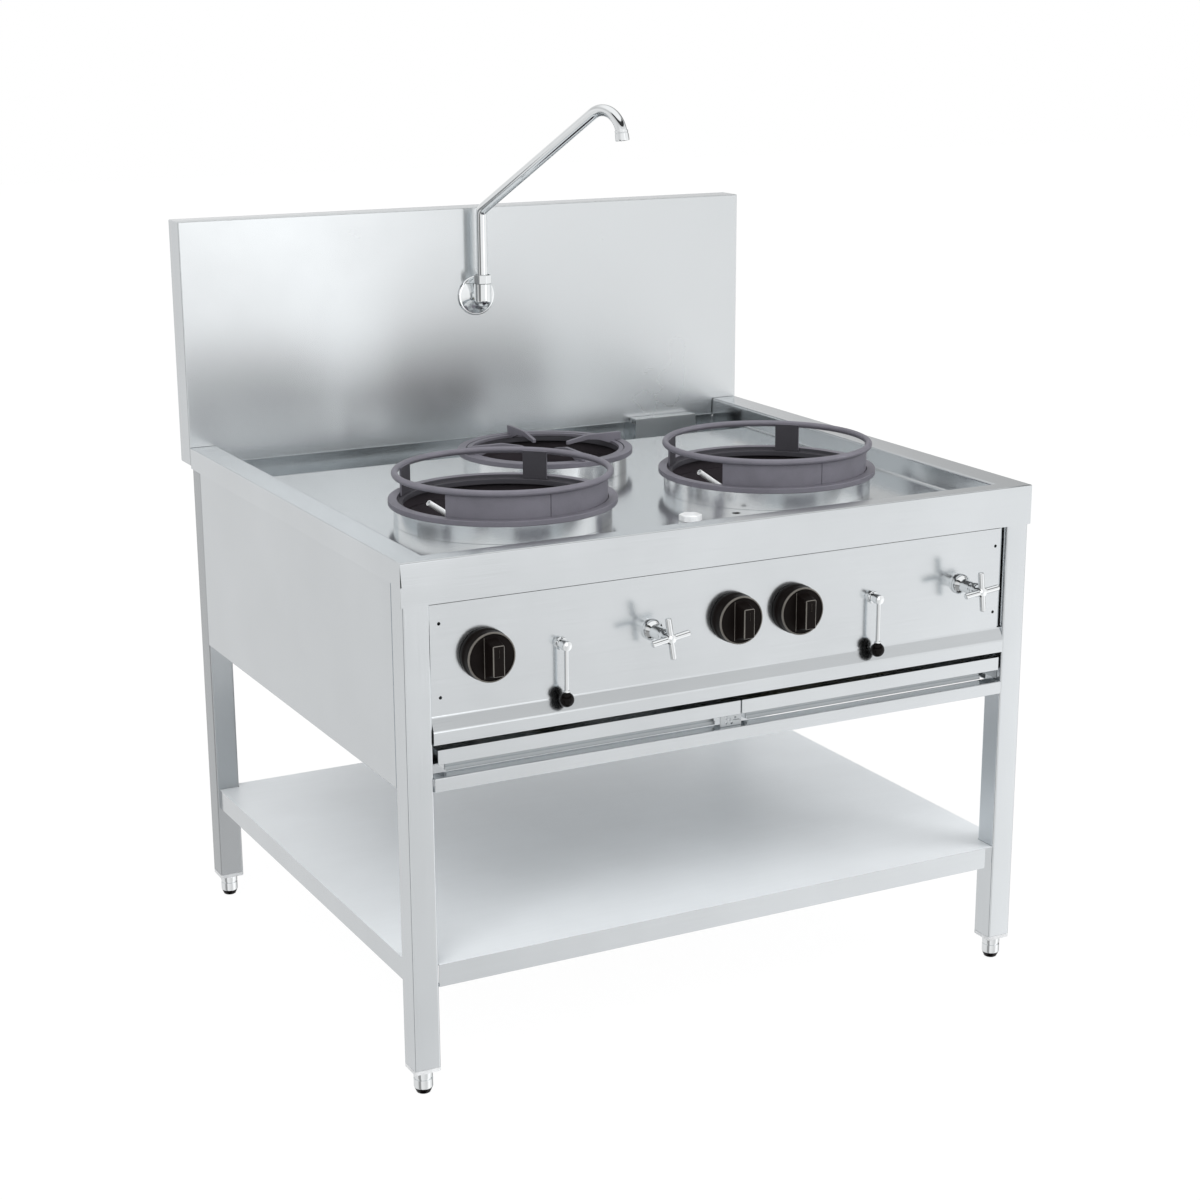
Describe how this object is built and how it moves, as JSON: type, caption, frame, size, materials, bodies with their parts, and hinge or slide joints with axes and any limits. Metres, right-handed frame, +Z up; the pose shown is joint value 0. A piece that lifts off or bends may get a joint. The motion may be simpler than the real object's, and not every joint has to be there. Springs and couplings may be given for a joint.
{
  "type": "wok range",
  "caption": "Free-standing stainless wok range with two wok burners, a rear burner, a sunk wet deck with gutter, a swivel spout, drip trays and an undershelf.",
  "frame": {"origin": "centre of the outer box at floor level, under the feet", "axes": "+X to the right as seen from the front, +Y from the control panel towards the splashback, +Z up"},
  "size_m": [1.05, 0.994, 1.3405],
  "materials": {
    "brushed_steel": "brushed stainless sheet, satin",
    "plain_steel": "mill-finish stainless sheet",
    "chrome": "polished chrome plate",
    "cast_iron": "grey heat-proof coating on iron",
    "burner_iron": "dark raw cast iron",
    "black_plastic": "black moulded thermoset, semi-matt",
    "brass": "drawn brass and copper pipe"
  },
  "bodies": {
    "cabinet": {"leg_front_left": "brushed_steel", "leg_front_right": "brushed_steel", "leg_rear_left": "brushed_steel", "leg_rear_right": "brushed_steel", "undershelf": "brushed_steel", "side_panel_left": "brushed_steel", "side_panel_right": "brushed_steel", "back_panel": "plain_steel", "splashback": "brushed_steel", "control_panel": "brushed_steel", "bottom_rail": "brushed_steel", "worktop_rim": "brushed_steel", "deck": "brushed_steel", "rear_gutter": "brushed_steel", "deck_cap": "chrome", "gas_manifold": "brass", "water_line": "brass", "tray_runner_left": "plain_steel", "tray_runner_right": "plain_steel", "tray_runner_centre": "plain_steel", "spout_escutcheon": "chrome", "spout_body": "chrome", "well_wok_left": "brushed_steel", "flange_wok_left": "cast_iron", "burner_head_wok_left": "burner_iron", "well_wok_right": "brushed_steel", "flange_wok_right": "cast_iron", "burner_head_wok_right": "burner_iron", "well_rear": "brushed_steel", "flange_rear": "cast_iron", "burner_head_rear": "burner_iron", "pilot_wok_left": "chrome", "pilot_wok_right": "chrome", "valve_left": "black_plastic", "valve_rear": "black_plastic", "valve_right": "black_plastic", "lever_valve_left": "chrome", "lever_valve_right": "chrome", "tap_spout": "chrome", "tap_rinse": "chrome"},
    "foot_front_left": {"foot_front_left": "chrome"},
    "foot_front_right": {"foot_front_right": "chrome"},
    "foot_rear_left": {"foot_rear_left": "chrome"},
    "foot_rear_right": {"foot_rear_right": "chrome"},
    "knob_left": {"knob_left": "black_plastic"},
    "knob_rear": {"knob_rear": "black_plastic"},
    "knob_right": {"knob_right": "black_plastic"},
    "lever_left": {"lever_left": "black_plastic"},
    "lever_right": {"lever_right": "black_plastic"},
    "tap_handle_spout": {"tap_handle_spout": "chrome"},
    "tap_handle_rinse": {"tap_handle_rinse": "chrome"},
    "spout": {"spout_pipe": "chrome", "spout_nozzle": "chrome"},
    "drip_tray_left": {"drip_tray_left": "brushed_steel"},
    "drip_tray_right": {"drip_tray_right": "brushed_steel"},
    "wok_ring_left": {"wok_ring_wok_left": "cast_iron"},
    "wok_ring_right": {"wok_ring_wok_right": "cast_iron"},
    "pan_support": {"pan_support_rear": "cast_iron"},
    "drain_cover": {"drain_cover": "brushed_steel"}
  },
  "joints": [
    {"name": "foot_screw_front_left", "type": "slide", "parent": "cabinet", "child": "foot_front_left", "axis": [0, 0, -1], "range_m": [0, 0.025]},
    {"name": "foot_screw_front_right", "type": "slide", "parent": "cabinet", "child": "foot_front_right", "axis": [0, 0, -1], "range_m": [0, 0.025]},
    {"name": "foot_screw_rear_left", "type": "slide", "parent": "cabinet", "child": "foot_rear_left", "axis": [0, 0, -1], "range_m": [0, 0.025]},
    {"name": "foot_screw_rear_right", "type": "slide", "parent": "cabinet", "child": "foot_rear_right", "axis": [0, 0, -1], "range_m": [0, 0.025]},
    {"name": "knob_turn_left", "type": "hinge", "parent": "cabinet", "child": "knob_left", "pos_m": [-0.3981, -0.445, 0.6424], "axis": [0, -1, 0], "range_deg": [0, 190]},
    {"name": "knob_turn_rear", "type": "hinge", "parent": "cabinet", "child": "knob_rear", "pos_m": [-0.001, -0.445, 0.6424], "axis": [0, -1, 0], "range_deg": [0, 190]},
    {"name": "knob_turn_right", "type": "hinge", "parent": "cabinet", "child": "knob_right", "pos_m": [0.1037, -0.445, 0.6424], "axis": [0, -1, 0], "range_deg": [0, 190]},
    {"name": "lever_turn_left", "type": "hinge", "parent": "cabinet", "child": "lever_left", "pos_m": [-0.283, -0.445, 0.6424], "axis": [0, -1, 0], "range_deg": [0, 90]},
    {"name": "lever_turn_right", "type": "hinge", "parent": "cabinet", "child": "lever_right", "pos_m": [0.24, -0.445, 0.6424], "axis": [0, -1, 0], "range_deg": [0, 90]},
    {"name": "tap_turn_spout", "type": "hinge", "parent": "cabinet", "child": "tap_handle_spout", "pos_m": [-0.1377, -0.445, 0.6424], "axis": [0, -1, 0], "range_deg": [0, 540]},
    {"name": "tap_turn_rinse", "type": "hinge", "parent": "cabinet", "child": "tap_handle_rinse", "pos_m": [0.4017, -0.445, 0.6424], "axis": [0, -1, 0], "range_deg": [0, 540]},
    {"name": "spout_swivel", "type": "hinge", "parent": "cabinet", "child": "spout", "pos_m": [0, 0.419, 1.0455], "axis": [0, 0, 1], "range_deg": [-100, 60]},
    {"name": "tray_slide_left", "type": "slide", "parent": "cabinet", "child": "drip_tray_left", "axis": [0, -1, 0], "range_m": [0, 0.75]},
    {"name": "tray_slide_right", "type": "slide", "parent": "cabinet", "child": "drip_tray_right", "axis": [0, -1, 0], "range_m": [0, 0.75]},
    {"name": "wok_ring_lift_left", "type": "slide", "parent": "cabinet", "child": "wok_ring_left", "axis": [0, 0, 1], "range_m": [0, 0.15]},
    {"name": "wok_ring_lift_right", "type": "slide", "parent": "cabinet", "child": "wok_ring_right", "axis": [0, 0, 1], "range_m": [0, 0.15]},
    {"name": "pan_support_lift", "type": "slide", "parent": "cabinet", "child": "pan_support", "axis": [0, 0, 1], "range_m": [0, 0.15]},
    {"name": "drain_cover_lift", "type": "slide", "parent": "cabinet", "child": "drain_cover", "axis": [0, 0, 1], "range_m": [0, 0.1]}
  ]
}
